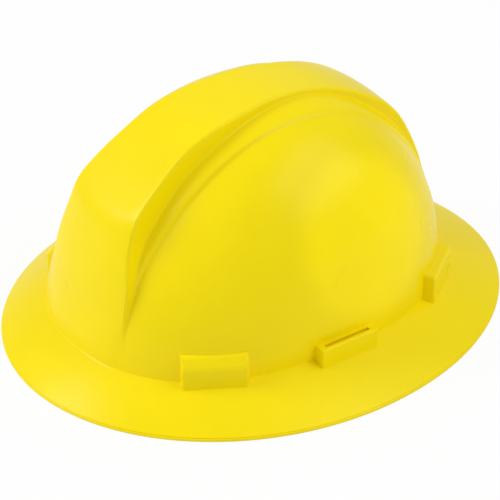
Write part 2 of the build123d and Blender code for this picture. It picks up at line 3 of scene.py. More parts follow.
import bmesh
import bpy
import numpy as np
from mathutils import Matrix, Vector


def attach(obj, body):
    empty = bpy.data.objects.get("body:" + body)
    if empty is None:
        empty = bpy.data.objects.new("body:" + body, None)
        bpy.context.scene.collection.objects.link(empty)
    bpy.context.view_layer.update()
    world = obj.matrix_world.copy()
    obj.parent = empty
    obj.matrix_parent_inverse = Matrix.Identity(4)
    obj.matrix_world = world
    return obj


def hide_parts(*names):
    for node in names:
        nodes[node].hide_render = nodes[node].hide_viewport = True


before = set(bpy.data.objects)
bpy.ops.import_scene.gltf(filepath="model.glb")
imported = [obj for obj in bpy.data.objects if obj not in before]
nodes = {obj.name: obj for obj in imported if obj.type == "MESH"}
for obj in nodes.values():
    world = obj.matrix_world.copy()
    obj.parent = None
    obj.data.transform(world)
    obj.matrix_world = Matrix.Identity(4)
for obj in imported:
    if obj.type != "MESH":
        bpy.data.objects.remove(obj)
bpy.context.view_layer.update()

# Studio: pale paper that runs out to white, with a hole under the hat so that room light reaches its inside.
# Two soft lamps light it, and a narrow one throws the bright patch on the dome. The camera stands 1.3 metres
# away, in front of the wearer's left and well above the brim.
brim_middle = -0.0062
aim = Vector((0, brim_middle, 0.0011))
camera_turn = math.radians(54.92)
camera_rise = math.radians(34.1)
camera_distance = 1.3
picture_pixels = 500
focal_pixels = 2080
aside_pixels = 2.85
above_pixels = 48.23
back = Vector((math.sin(camera_turn) * math.cos(camera_rise),
               -math.cos(camera_turn) * math.cos(camera_rise), math.sin(camera_rise)))
right = Vector((math.cos(camera_turn), math.sin(camera_turn), 0))
up = back.cross(right)
sight = -back + right * (aside_pixels / focal_pixels) + up * (above_pixels / focal_pixels)

camera = bpy.data.objects.new("camera", bpy.data.cameras.new("camera"))
bpy.context.scene.collection.objects.link(camera)
bpy.context.scene.camera = camera
camera.data.sensor_width = 36
camera.data.lens = camera.data.sensor_width * focal_pixels / picture_pixels
camera.data.clip_start = 0.05
camera.data.clip_end = 50
camera.location = aim + back * camera_distance
camera.rotation_mode = "QUATERNION"
camera.rotation_quaternion = sight.to_track_quat("-Z", "Y")

bpy.context.scene.view_settings.view_transform = "Standard"
white = (1, 1, 1, 1)
world = bpy.data.worlds.new("studio")
bpy.context.scene.world = world
world.use_nodes = True
links, made = world.node_tree.links, world.node_tree.nodes
made.clear()
world_out = made.new("ShaderNodeOutputWorld")
seen_or_lit = made.new("ShaderNodeMixShader")
room_light = made.new("ShaderNodeBackground")
room_light.inputs["Color"].default_value = (0.98, 0.99, 1, 1)
room_light.inputs["Strength"].default_value = 0.545
white_backdrop = made.new("ShaderNodeBackground")
white_backdrop.inputs["Color"].default_value = white
ray = made.new("ShaderNodeLightPath")
links.new(ray.outputs["Is Camera Ray"], seen_or_lit.inputs["Fac"])
links.new(room_light.outputs[0], seen_or_lit.inputs[1])
links.new(white_backdrop.outputs[0], seen_or_lit.inputs[2])
links.new(seen_or_lit.outputs[0], world_out.inputs[0])


def hang_lamp(light, place, target):
    """Put a lamp at a place, turned towards a point of the hat."""
    holder = bpy.data.objects.new(light.name, light)
    bpy.context.scene.collection.objects.link(holder)
    holder.location = place
    holder.rotation_mode = "QUATERNION"
    holder.rotation_quaternion = (Vector(target) - Vector(place)).to_track_quat("-Z", "Y")


def soft_lamp(name, place, size, power):
    """A square soft lamp aimed at the middle of the hat."""
    light = bpy.data.lights.new(name, "AREA")
    light.shape = "RECTANGLE"
    light.size = size
    light.size_y = size
    light.energy = power
    hang_lamp(light, place, (0, 0, 0.07))


soft_lamp("key_lamp", place=(-0.8, -1.3, 1.2), size=0.9, power=16)
soft_lamp("top_lamp", place=(1.0, 0.8, 1.4), size=1.3, power=12)

patch = bpy.data.lights.new("patch_lamp", "SPOT")
patch.energy = 3.6
patch.spot_size = math.radians(5.8)
patch.spot_blend = 0.1
patch.shadow_soft_size = 0.008
patch_middle = (0.080, 0.020, 0.078)
hang_lamp(patch, (0.83, 0.11, 0.68), patch_middle)

floor_reach = 3.5
hole_half_width = 0.118
hole_half_length = 0.138
corners = 64
rim_turns = [math.tau * k / corners for k in range(corners)]
floor_rim = [(floor_reach * math.cos(t), floor_reach * math.sin(t), 0) for t in rim_turns]
hole_rim = [(hole_half_width * math.cos(t), hole_half_length * math.sin(t) + brim_middle, 0)
            for t in rim_turns]
floor_mesh = bpy.data.meshes.new("studio_floor")
floor_mesh.from_pydata(floor_rim + hole_rim, [], [
    (k, (k + 1) % corners, (k + 1) % corners + corners, k + corners) for k in range(corners)])
floor = bpy.data.objects.new("studio_floor", floor_mesh)
bpy.context.scene.collection.objects.link(floor)
glow_share = 0.94
paper = bpy.data.materials.new("pale_paper")
paper.use_nodes = True
made, links = paper.node_tree.nodes, paper.node_tree.links
made.clear()
paper_out = made.new("ShaderNodeOutputMaterial")
paper_mix = made.new("ShaderNodeMixShader")
paper_diffuse = made.new("ShaderNodeBsdfDiffuse")
paper_diffuse.inputs["Color"].default_value = (0.86, 0.86, 0.85, 1)
paper_glow = made.new("ShaderNodeEmission")
paper_glow.inputs["Color"].default_value = white
ray = made.new("ShaderNodeLightPath")
shown = made.new("ShaderNodeMath")
shown.operation = "MULTIPLY"
shown.inputs[1].default_value = glow_share
links.new(ray.outputs["Is Camera Ray"], shown.inputs[0])
links.new(shown.outputs[0], paper_mix.inputs["Fac"])
links.new(paper_diffuse.outputs[0], paper_mix.inputs[1])
links.new(paper_glow.outputs[0], paper_mix.inputs[2])
paper_sides = made.new("ShaderNodeMixShader")
paper_clear = made.new("ShaderNodeBsdfTransparent")
paper_side = made.new("ShaderNodeNewGeometry")
links.new(paper_side.outputs["Backfacing"], paper_sides.inputs["Fac"])
links.new(paper_mix.outputs[0], paper_sides.inputs[1])
links.new(paper_clear.outputs[0], paper_sides.inputs[2])
links.new(paper_sides.outputs[0], paper_out.inputs[0])
floor_mesh.materials.append(paper)


# Shell: one high-density polyethylene moulding, glossy yellow with a faint orange peel. The crown carries a
# low band and a central crest, and turns out into a full brim. Bosses for the hangers stand outside its foot.
def plastic(name, colour, roughness, grain, depth, tone):
    """Moulded plastic: a surface grain of real size, and slight changes of tone and gloss."""
    material = bpy.data.materials.new(name)
    material.use_nodes = True
    made, links = material.node_tree.nodes, material.node_tree.links
    shader = made["Principled BSDF"]
    shader.inputs["Specular IOR Level"].default_value = 0.16
    place = made.new("ShaderNodeTexCoord")
    patches = made.new("ShaderNodeTexNoise")
    patches.inputs["Scale"].default_value = 22
    patches.inputs["Detail"].default_value = 3
    links.new(place.outputs["Object"], patches.inputs["Vector"])
    shades = made.new("ShaderNodeValToRGB")
    shades.color_ramp.elements[0].position = 0.3
    shades.color_ramp.elements[1].position = 0.7
    shades.color_ramp.elements[0].color = (*[c * (1 - tone) for c in colour], 1)
    shades.color_ramp.elements[1].color = (*[min(1, c * (1 + tone)) for c in colour], 1)
    links.new(patches.outputs["Fac"], shades.inputs["Fac"])
    links.new(shades.outputs["Color"], shader.inputs["Base Color"])
    gloss = made.new("ShaderNodeMapRange")
    gloss.inputs["To Min"].default_value = roughness * 0.9
    gloss.inputs["To Max"].default_value = roughness * 1.12
    links.new(patches.outputs["Fac"], gloss.inputs["Value"])
    links.new(gloss.outputs["Result"], shader.inputs["Roughness"])
    peel = made.new("ShaderNodeTexNoise")
    peel.inputs["Scale"].default_value = grain
    peel.inputs["Detail"].default_value = 2
    links.new(place.outputs["Object"], peel.inputs["Vector"])
    bump = made.new("ShaderNodeBump")
    bump.inputs["Strength"].default_value = 0.35
    bump.inputs["Distance"].default_value = depth
    links.new(peel.outputs["Fac"], bump.inputs["Height"])
    links.new(bump.outputs["Normal"], shader.inputs["Normal"])
    return material


def add_piece(name, mesh, material, smooth_angle=35):
    """Put a finished mesh in the scene, smooth except at its corners."""
    piece = bpy.data.objects.new(name, mesh)
    bpy.context.scene.collection.objects.link(piece)
    mesh.materials.clear()
    mesh.materials.append(material)
    mesh.shade_smooth()
    mesh.set_sharp_from_angle(angle=math.radians(smooth_angle))
    return piece


yellow = plastic("shell_yellow_plastic", (0.965, 0.765, 0.001), roughness=0.28, grain=900, depth=0.00004,
                 tone=0.02)

# Crown sizes. Ahead and behind are measured from the crown's centre, which lies on the level of the crease
# between crown and brim. The three roundings are those of the front, the sides and the rear.
crease = 0.020
crown_centre = np.array((0, -0.0069, crease))
wall = 0.0028
crown_half = 0.0978
crown_ahead = 0.1252
crown_behind = 0.1213
crown_high = 0.128
crown_lean = 0.012
crown_power = 2.35
dome_rounding = (1.85, 2.25, 1.88)

# The band is a low step on the dome, on both sides of the crest.
band_half = 0.037
band_out = 0.0005
band_up = 0.0012
band_rounding = (1.95, 2.25, 1.91)
band_edge_round = 0.0018
band_foot_round = 0.0012

# The crest: shares of the crown's reach ahead or behind against shares of the crest's height and half-width.
# The mean reach turns the first shares into metres where the crest's slope is worked out.
crest_high = 0.1313
crest_half_width = 0.021
crest_outline = np.array((
    (-1.02, 0.475), (-0.857, 0.618), (-0.76, 0.705), (-0.66, 0.786), (-0.557, 0.856), (-0.45, 0.919),
    (-0.341, 0.959), (-0.233, 0.979), (-0.125, 0.993), (-0.018, 1.002), (0.095, 1.001), (0.213, 0.989),
    (0.337, 0.966), (0.44, 0.935), (0.542, 0.892), (0.64, 0.84), (0.72, 0.785), (0.785, 0.715),
    (0.835, 0.633), (0.885, 0.53), (0.93, 0.41), (0.97, 0.22), (1.01, -0.3)))
crest_plan = np.array((
    (-1.03, 1.95), (-0.81, 1.545), (-0.653, 1.395), (-0.5, 1.27), (-0.29, 1.22), (-0.11, 1.13),
    (0.013, 1.057), (0.14, 1.014), (0.26, 0.995), (0.38, 1.014), (0.49, 1.1), (0.68, 1.27), (1.02, 1.5)))
crest_edge_round = 0.0018
crest_foot_round = 0.0014
mean_reach = 0.123

# Its panel in front is cut by a taller dome, set back a little, and flares towards its foot.
panel_set_back = 0.0024
panel_behind = 0.130
panel_high = 0.175
panel_rounding = (1.85, 2.25, 1.85)
panel_edge_round = 0.003
flare = 0.0045
flare_top, flare_fade = 0.098, 0.035
flare_share, flare_blend = -0.55, 0.15

# Over the rear its top is arched across.
camber_high = 0.0024
camber_share, camber_blend = 0.25, 0.4

# Bounds for how far the crown and brim can be from the crown's centre.
nearest, farthest = 0.03, 0.24


def curve_through(points):
    """A smooth curve through measured points, evened out a little, read off at any place."""
    x, y = points.T
    fine = np.linspace(x[0], x[-1], 400)
    slope = np.gradient(y, x)
    at = np.clip(np.searchsorted(x, fine, "right") - 1, 0, len(x) - 2)
    gap = x[at + 1] - x[at]
    t = (fine - x[at]) / gap
    line = ((2 * t ** 3 - 3 * t ** 2 + 1) * y[at] + (t ** 3 - 2 * t ** 2 + t) * gap * slope[at]
            + (3 * t ** 2 - 2 * t ** 3) * y[at + 1] + (t ** 3 - t ** 2) * gap * slope[at + 1])
    for sweep in range(8):
        line[1:-1] = (line[:-2] + 2 * line[1:-1] + line[2:]) / 4
    return lambda place: np.interp(place, fine, line)


crest_line = curve_through(crest_outline)
crest_side = curve_through(crest_plan * (1, crest_half_width))


def share_along(y):
    """Places along the hat as shares of the crown's reach, negative ahead of its centre."""
    y = y - crown_centre[1]
    return y / np.where(y < 0, crown_ahead, crown_behind)


def crest_half(p):
    """The crest's half-width, a little more down the panel's lower part."""
    along = share_along(p[..., 1])
    low = np.clip((flare_top - p[..., 2]) / flare_fade, 0, 1)
    ahead = np.clip((flare_share - along) / flare_blend, 0, 1)
    return crest_side(along) + flare * low * low * (3 - 2 * low) * ahead


def outside_dome(p, half, ahead, behind, high, lean, rounding):
    """Negative inside a dome of ovals, positive outside."""
    almost_top, far_outside = 0.99999, 10
    s = np.clip((p[..., 2] - crease) / high, 0, almost_top)
    y = p[..., 1] - crown_centre[1] - lean * s
    front, side, rear = [(1 - s ** power) ** (1 / power) for power in rounding]
    reach = np.where(y < 0, ahead * front, behind * rear)
    over_top = np.where(p[..., 2] > crease + high, far_outside, 0)
    return ((np.abs(p[..., 0]) / (half * side)) ** crown_power + (np.abs(y) / reach) ** crown_power - 1
            + over_top)


def reach_along(rays, field):
    """How far each ray runs before a field of places and radii turns positive."""
    low = np.full(rays.shape[:-1], nearest)
    high = np.full(rays.shape[:-1], farthest)
    for halving in range(30):
        r = (low + high) / 2
        out = field(crown_centre + rays * r[..., None], r) > 0
        high, low = np.where(out, r, high), np.where(out, low, r)
    return (low + high) / 2


def soft_max(a, b, k):
    """The greater of two fields, rounded where they cross."""
    h = np.maximum(k - np.abs(a - b), 0) / k
    return np.maximum(a, b) + h * h * k / 4


def soft_min(a, b, k):
    """The lesser of two fields, rounded where they cross."""
    return -soft_max(-a, -b, k)


def dome_radius(rays, inset=0):
    """How far the dome is along each ray."""
    return reach_along(rays, lambda p, r: outside_dome(
        p, crown_half - inset, crown_ahead - inset, crown_behind - inset, crown_high - inset, crown_lean,
        dome_rounding))


def band_radius(rays):
    """How far the band is along each ray."""
    return reach_along(rays, lambda p, r: outside_dome(
        p, crown_half + band_out, crown_ahead + band_out, crown_behind + band_out, crown_high + band_up,
        crown_lean, band_rounding))


def panel_radius(rays, inset=0):
    """How far the crest's panel is along each ray."""
    return reach_along(rays, lambda p, r: outside_dome(
        p, crown_half - inset, crown_ahead - panel_set_back - inset, panel_behind - inset, panel_high, 0,
        panel_rounding))


def crest_top(p, r, panel_r, inset):
    """Height over the crest's top and panel, with their shared edge rounded."""
    along = share_along(p[..., 1])
    across = p[..., 0] / crest_half(p)
    rear = np.clip((along - camber_share) / camber_blend, 0, 1)
    camber = camber_high * rear * np.clip(1 - across ** 2, 0, 1)
    z = crease + crest_high * crest_line(along) + camber - inset
    step = 0.004
    slope = (crest_line(along + step) - crest_line(along - step)) / (2 * step) * crest_high / mean_reach
    return soft_max((p[..., 2] - z) / np.sqrt(1 + slope ** 2), r - panel_r, panel_edge_round)


def crown_radius(rays, inset):
    """The crown's skin along each ray: dome, band and crest melted together, without the band inside."""
    dome_r, band_r, panel_r = dome_radius(rays, inset), band_radius(rays), panel_radius(rays, inset)

    def outside_crown(p, r):
        x = np.abs(p[..., 0])
        crest = soft_max(crest_top(p, r, panel_r, inset), x - crest_half(p) + inset, crest_edge_round)
        skin = r - dome_r
        if inset == 0:
            band = soft_max(r - band_r, x - band_half, band_edge_round)
            skin = soft_min(skin, band, band_foot_round)
        return soft_min(skin, crest, crest_foot_round)
    return reach_along(rays, outside_crown)


def rays_at(u, v):
    """Directions over the upper half space for places on a square whose middle is the top of the crown."""
    a = u * np.sqrt(1 - v ** 2 / 2)
    b = v * np.sqrt(1 - u ** 2 / 2)
    rho = np.maximum(np.sqrt(a ** 2 + b ** 2), 1e-9)
    level = np.sin(rho * math.pi / 2)
    return np.stack([level * a / rho, level * b / rho, np.cos(rho * math.pi / 2)], -1)


def spread(stops, counts):
    """Places between stops, each stretch with its own number of steps."""
    stretches = [np.linspace(a, b, n, endpoint=False) for a, b, n in zip(stops, stops[1:], counts)]
    return np.concatenate(stretches + [[1]])


along_v = spread((-1, -0.70, -0.52, -0.3, 0.6, 0.85, 1), (18, 26, 14, 50, 20, 14))


def side_line(half_width, reach, start):
    """Where on the square a surface reaches a given half-width, for each row along the crown."""
    ease = 0.6
    least, most = 0.02, 0.6
    u = np.full(along_v.shape, start)
    for sweep in range(40):
        rays = rays_at(u, along_v)
        p = crown_centre + rays * reach(rays)[..., None]
        u = np.clip(u * (1 - ease + ease * half_width(p) / np.maximum(p[..., 0], 1e-6)), least, most)
    return u


def top_reach(rays):
    """How far the crest's top or panel is along each ray."""
    panel_r = panel_radius(rays)
    return reach_along(rays, lambda p, r: crest_top(p, r, panel_r, 0))


def foot_reach(rays):
    """How far the dome or band is along each ray, whichever stands further out."""
    return np.maximum(dome_radius(rays), band_radius(rays))


def band_side(p):
    """The band's half-width, the same all along."""
    return np.full(p.shape[:-1], band_half)


# The skins' points follow the crest's edge and foot and the band's edge and foot, so that each stays crisp.
# The gaps are the least room between two such lines on the square.
crest_side_gap, band_gap, band_side_gap = 0.006, 0.02, 0.004
crest_edge_u = side_line(crest_half, top_reach, 0.15)
crest_foot_u = np.maximum(side_line(crest_half, foot_reach, 0.17), crest_edge_u + crest_side_gap)
band_edge_u = np.maximum(side_line(band_side, band_radius, 0.2), crest_foot_u + band_gap)
band_foot_u = np.maximum(side_line(band_side, dome_radius, 0.2), band_edge_u + band_side_gap)
crest_steps = (0, 0.22, 0.44, 0.62, 0.74, 0.82, 0.88, 0.93, 0.97)
crest_side_steps = (0, 0.14, 0.28, 0.42, 0.58, 0.72, 0.86)
band_steps = (0, 0.06, 0.13, 0.22, 0.36, 0.52, 0.66, 0.78, 0.86, 0.93, 0.97)
band_side_steps = (0, 0.33, 0.67)
dome_steps = (0, 0.004, 0.009, 0.015, 0.023, 0.034, 0.05, *np.linspace(0.07, 1, 46))
steps = [crest_steps, crest_side_steps, band_steps, band_side_steps, dome_steps]
stops = [np.zeros_like(along_v), crest_edge_u, crest_foot_u, band_edge_u, band_foot_u, np.ones_like(along_v)]
half_u = np.stack([a + (b - a) * t for a, b, ts in zip(stops, stops[1:], steps) for t in ts], 1)
across_u = np.concatenate([-half_u[:, :0:-1], half_u], 1)
rows, columns = across_u.shape
grid_rays = rays_at(across_u, np.repeat(along_v[:, None], columns, 1))
outer_skin = crown_centre + grid_rays * crown_radius(grid_rays, 0)[..., None]
inner_skin = crown_centre + grid_rays * crown_radius(grid_rays, wall)[..., None]

# The rim is the skins' outer ring of points, taken once round, and the plan is its directions seen from above.
rim_index = ([(0, c) for c in range(columns)] + [(r, columns - 1) for r in range(1, rows)]
             + [(rows - 1, c) for c in range(columns - 2, -1, -1)] + [(r, 0) for r in range(rows - 2, 0, -1)])
rim_rows, rim_columns = np.array(rim_index).T
plan = grid_rays[rim_rows, rim_columns]
plan[:, 2] = 0
plan /= np.linalg.norm(plan, axis=1)[:, None]

# Brim sizes. It rises from its edge to the crease and is bowed a little in between.
brim_half = 0.1371
brim_ahead = 0.1576
brim_behind = 0.1701
brim_thick = 0.003
edge_level = 0.0022
brim_bow = 0.0032
edge_round = 0.0009
lip_round = 0.0006
fillet_share = 0.94
foot_lift = 0.0001
foot_pull = 0.55
inner_corner_lift = 0.0009
inner_foot_drop = np.array((0, 0, 0.0002))


def brim_ring(share, drop):
    """The brim's skin, lowered by a drop, at a share of the way in from its edge."""
    reaches = ((brim_half, crown_half), (brim_ahead, crown_ahead), (brim_behind, crown_behind))
    half, ahead, behind = [o - drop + (i - o + drop) * share for o, i in reaches]
    power = 2 + (crown_power - 2) * share
    station = brim_middle + (crown_centre[1] - brim_middle) * share
    level = edge_level + (crease - edge_level) * share + brim_bow * share * (1 - share) - drop

    def outside_brim(p, r):
        y = p[..., 1] - station
        return (np.abs(p[..., 0]) / half) ** power + (np.abs(y) / np.where(y < 0, ahead, behind)) ** power - 1
    ring = crown_centre + plan * reach_along(plan, outside_brim)[:, None]
    ring[:, 2] = level
    return ring


def bend(start, corner, end, places):
    """Rings on a curve from one ring to another that is drawn towards a corner."""
    return [(1 - t) ** 2 * start + 2 * t * (1 - t) * corner + t ** 2 * end for t in places]


# The skin runs on from the crown's outer foot, over the brim, round its edge and back underneath.
outer_foot = outer_skin[rim_rows, rim_columns]
turn_in = brim_ring(fillet_share, 0)
foot_corner = outer_foot.copy()
foot_corner[:, 2] = crease + foot_lift
foot_corner = foot_corner * foot_pull + turn_in * (1 - foot_pull)
rings = bend(outer_foot, foot_corner, turn_in, (0.15, 0.3, 0.45, 0.6, 0.75, 0.9))
brim_shares = (fillet_share, 0.88, 0.8, 0.7, 0.6, 0.5, 0.4, 0.3, 0.2, 0.12, 0.06, 0.02)
rings += [brim_ring(share, 0) for share in brim_shares]
edge = brim_ring(0, 0)
for turn in (10, 30, 50, 70, 90):
    angle = math.radians(turn)
    sunk = np.array((0, 0, edge_round * (math.cos(angle) - 1)))
    rings.append(edge - plan * edge_round * (1 - math.sin(angle)) + sunk)
for turn in (0, 30, 60, 90):
    angle = math.radians(turn)
    lip = edge.copy()
    lip[:, 2] = lip_round * (1 - math.sin(angle))
    rings.append(lip - plan * lip_round * (1 - math.cos(angle)))
under_shares = (0.046, 0.12, 0.25, 0.4, 0.55, 0.7, 0.85, 0.93)
rings += [brim_ring(share, brim_thick) for share in under_shares]
inner_foot = inner_skin[rim_rows, rim_columns]
inner_corner = inner_foot.copy()
inner_corner[:, 2] = rings[-1][:, 2] + inner_corner_lift
rings += bend(rings[-1], inner_corner, inner_foot - inner_foot_drop, (0.25, 0.5, 0.75, 0.95))

points = [outer_skin.reshape(-1, 3), *rings, inner_skin.reshape(-1, 3)]
starts = np.cumsum([0] + [len(p) for p in points])
outer_at = np.arange(rows * columns).reshape(rows, columns)
inner_at = outer_at + starts[-2]


def skin_faces(at, order):
    """The four-sided faces of a skin's grid of points."""
    squares = (at[:-1, :-1], at[:-1, 1:], at[1:, 1:], at[1:, :-1])
    return np.stack([squares[k] for k in order], -1).reshape(-1, 4)


quads = [skin_faces(outer_at, (0, 1, 2, 3)), skin_faces(inner_at, (0, 3, 2, 1))]
loops = [outer_at[rim_rows, rim_columns]]
loops += [starts[k + 1] + np.arange(len(rim_rows)) for k in range(len(rings))]
loops.append(inner_at[rim_rows, rim_columns])
for one, two in zip(loops, loops[1:]):
    quads.append(np.stack([one, two, np.roll(two, -1), np.roll(one, -1)], -1))
shell_mesh = bpy.data.meshes.new("hard_hat_shell")
shell_mesh.from_pydata(np.concatenate(points).tolist(), [], np.concatenate(quads).tolist())
shell_mesh.validate()
form = bmesh.new()
form.from_mesh(shell_mesh)
bmesh.ops.recalc_face_normals(form, faces=form.faces)
form.to_mesh(shell_mesh)
form.free()
shell = add_piece("hard_hat_shell", shell_mesh, yellow)


def boss_place(x, y, turn_degrees):
    """A boss's middle, its direction inwards and its direction along."""
    turn = math.radians(turn_degrees)
    inwards = Vector((-math.sin(turn), math.cos(turn), 0))
    along = Vector((math.cos(turn), math.sin(turn), 0))
    return Vector((x, y, 0)), inwards, along


def block(name, place, outline, length, radius=0):
    """An outline drawn inwards and up, made long both ways, with round outer edges."""
    middle, inwards, along = place
    form = bmesh.new()
    ends = []
    for side in (-0.5, 0.5):
        ends.append([form.verts.new(middle + inwards * x + along * (length * side) + Vector((0, 0, z)))
                     for x, z in outline])
    form.faces.new(ends[0])
    form.faces.new(ends[1][::-1])
    count = len(outline)
    for k in range(count):
        form.faces.new((ends[0][k], ends[0][(k + 1) % count], ends[1][(k + 1) % count], ends[1][k]))
    bmesh.ops.recalc_face_normals(form, faces=form.faces)
    if radius:
        margin = 0.0005
        buried = max(x for x, z in outline) - radius * 1.05
        low = min(z for x, z in outline) + margin
        outer_edges = []
        for e in form.edges:
            centre = (e.verts[0].co + e.verts[1].co) / 2
            if (centre - middle).dot(inwards) < buried and centre.z > low:
                outer_edges.append(e)
        bmesh.ops.bevel(form, geom=outer_edges, offset=radius, segments=5, affect="EDGES", profile=0.5)
    mesh = bpy.data.meshes.new(name)
    form.to_mesh(mesh)
    form.free()
    piece = bpy.data.objects.new(name, mesh)
    bpy.context.scene.collection.objects.link(piece)
    return piece


def box(near, far, low, high):
    """A box's outline, from near to far inwards."""
    return [(near, low), (far, low), (far, high), (near, high)]


def both_sides(pieces):
    """The pieces of the wearer's left and their mirror images on the right."""
    twins = []
    for piece in pieces:
        mesh = piece.data.copy()
        for vertex in mesh.vertices:
            vertex.co.x = -vertex.co.x
        mesh.flip_normals()
        twins.append(bpy.data.objects.new(piece.name + "_right", mesh))
        bpy.context.scene.collection.objects.link(twins[-1])
    return [*pieces, *twins]


def combine(target, tools, operation):
    """Fuse tools with the target or cut them from it."""
    for tool in tools:
        modifier = target.modifiers.new("boolean", "BOOLEAN")
        modifier.operation, modifier.object, modifier.solver = operation, tool, "MANIFOLD"
        result = bpy.data.meshes.new_from_object(target.evaluated_get(bpy.context.evaluated_depsgraph_get()))
        target.modifiers.clear()
        target.data = result
        bpy.data.objects.remove(tool)


# Bosses: hollow blocks at the crown's foot. The front and rear ones take the hangers' keys from below, and
# the ones between them have an open slot for an accessory.
front_place = boss_place(0.0855, -0.0883, 60.7)
rear_place = boss_place(0.079, 0.0853, 126)
side_place = boss_place(0.105, -0.0059, 90)
boss_low = 0.011
front_long, front_deep, front_high, front_round = 0.0395, 0.0089, 0.0376, 0.0022
front_ledge, front_lip = 0.0050, 0.0308
rear_long, rear_deep, rear_high, rear_lip, rear_round = 0.040, 0.01015, 0.038, 0.0365, 0.002
side_long, side_deep, side_high, side_round = 0.041, 0.0086, 0.0296, 0.0012
cut_low = -0.005
pocket_long, pocket_near, pocket_far, pocket_high = 0.026, 0.0022, 0.0067, 0.0285
slot_long, slot_near, slot_far, slot_high = 0.032, 0.0027, 0.0051, 0.035

front_outline = [(0, boss_low), (front_deep, boss_low), (front_deep, front_high), (front_ledge, front_high),
                 (0, front_lip)]
rear_outline = [(0, boss_low), (rear_deep, boss_low), (rear_deep, rear_high), (0, rear_lip)]
pocket_outline = box(pocket_near, pocket_far, cut_low, pocket_high)
bosses = [
    block("front_boss", front_place, front_outline, front_long, front_round),
    block("rear_boss", rear_place, rear_outline, rear_long, rear_round),
    block("slot_boss", side_place, box(0, side_deep, boss_low, side_high), side_long, side_round),
]
hollows = [
    block("front_pocket", front_place, pocket_outline, pocket_long),
    block("rear_pocket", rear_place, pocket_outline, pocket_long),
    block("slot", side_place, box(slot_near, slot_far, cut_low, slot_high), slot_long),
]
combine(shell, both_sides(bosses), "UNION")
combine(shell, both_sides(hollows), "DIFFERENCE")
shell.data.materials.clear()
shell.data.materials.append(yellow)
shell.data.shade_smooth()
shell.data.set_sharp_from_angle(angle=math.radians(38))
even_shade = shell.modifiers.new("even_shade", "WEIGHTED_NORMAL")
even_shade.keep_sharp = True
shaded = bpy.data.meshes.new_from_object(shell.evaluated_get(bpy.context.evaluated_depsgraph_get()))
shell.modifiers.clear()
shell.data = shaded
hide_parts("shell")
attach(shell, "shell_body")


# Hangers: four black nylon hooks, keyed into the shell's bosses, each with a bar for a crown strap.
# They keep their moulded CAD shape, with a fine matt texture from the mould.
nylon = plastic("hanger_nylon", (0.027, 0.027, 0.028), roughness=0.46, grain=1500, depth=0.00003, tone=0.12)


def finish_node(node, material):
    """Give a CAD piece its finish."""
    piece = nodes[node]
    piece.data.materials.clear()
    piece.data.materials.append(material)


for corner in ("front_left", "front_right", "rear_left", "rear_right"):
    finish_node(corner + "_hanger", nylon)


# Crown straps: woven polyester webbing, 18 mm wide and 1.2 mm thick. Each is looped round two hanger bars,
# folded back inside and sewn, and the two cross over the head.
def weave(name, dark, light, warp, weft, depth):
    """Cloth of crossed yarns that follow the piece's own UV map, in metres, with painted shade where the weave
    lies low.
    """
    material = bpy.data.materials.new(name)
    material.use_nodes = True
    made, links = material.node_tree.nodes, material.node_tree.links
    shader = made["Principled BSDF"]
    uv = made.new("ShaderNodeUVMap")
    uv.uv_map = "cloth"
    parts = made.new("ShaderNodeSeparateXYZ")
    links.new(uv.outputs["UV"], parts.inputs[0])
    waves = []
    for axis, pitch in (("X", warp), ("Y", weft)):
        turn = made.new("ShaderNodeMath")
        turn.operation = "MULTIPLY"
        turn.inputs[1].default_value = math.tau / pitch
        links.new(parts.outputs[axis], turn.inputs[0])
        wave = made.new("ShaderNodeMath")
        wave.operation = "SINE"
        links.new(turn.outputs[0], wave.inputs[0])
        waves.append(wave)
    crossed = made.new("ShaderNodeMath")
    crossed.operation = "MULTIPLY"
    links.new(waves[0].outputs[0], crossed.inputs[0])
    links.new(waves[1].outputs[0], crossed.inputs[1])
    height = made.new("ShaderNodeMapRange")
    height.inputs["From Min"].default_value = -1
    links.new(crossed.outputs[0], height.inputs["Value"])
    fuzz = made.new("ShaderNodeTexNoise")
    fuzz.inputs["Scale"].default_value = 700
    place = made.new("ShaderNodeTexCoord")
    links.new(place.outputs["Object"], fuzz.inputs["Vector"])
    # Painted shade: the colour follows the weave's height, darker where the yarns lie low, varied by fine
    # noise.
    painted_weave_shade = made.new("ShaderNodeMath")
    painted_weave_shade.operation = "MULTIPLY"
    links.new(height.outputs["Result"], painted_weave_shade.inputs[0])
    links.new(fuzz.outputs["Fac"], painted_weave_shade.inputs[1])
    tones = made.new("ShaderNodeValToRGB")
    tones.color_ramp.elements[0].color = (*dark, 1)
    tones.color_ramp.elements[1].color = (*light, 1)
    tones.color_ramp.elements[1].position = 0.6
    links.new(painted_weave_shade.outputs[0], tones.inputs["Fac"])
    links.new(tones.outputs["Color"], shader.inputs["Base Color"])
    shader.inputs["Roughness"].default_value = 0.85
    shader.inputs["Sheen Weight"].default_value = 0.25
    bump = made.new("ShaderNodeBump")
    bump.inputs["Strength"].default_value = 0.8
    bump.inputs["Distance"].default_value = depth
    links.new(height.outputs["Result"], bump.inputs["Height"])
    links.new(bump.outputs["Normal"], shader.inputs["Normal"])
    return material


webbing = weave("strap_webbing", dark=(0.014, 0.014, 0.015), light=(0.06, 0.06, 0.064), warp=0.0011,
                weft=0.0016, depth=0.00015)
bar_level = 0.056
front_bar = Vector((0.06457, -0.07656, bar_level))
rear_bar = Vector((-0.05797, 0.07002, bar_level))
strap_width = 0.018
strap_thick = 0.0012
loop_middle = 0.0024
arch_inset = 0.00235
fold_gap = 0.00008
fold_start, fold_end = 0.035, 0.13
left_rise, right_rise = 0.056, 0.0578
level_run = rear_bar - front_bar
strap_length = level_run.length
strap_along = level_run.normalized()
strap_side = Vector((strap_along.y, -strap_along.x, 0))
strap_ahead = strap_length * front_bar.x / (front_bar.x - rear_bar.x)
crossing = front_bar + strap_along * strap_ahead


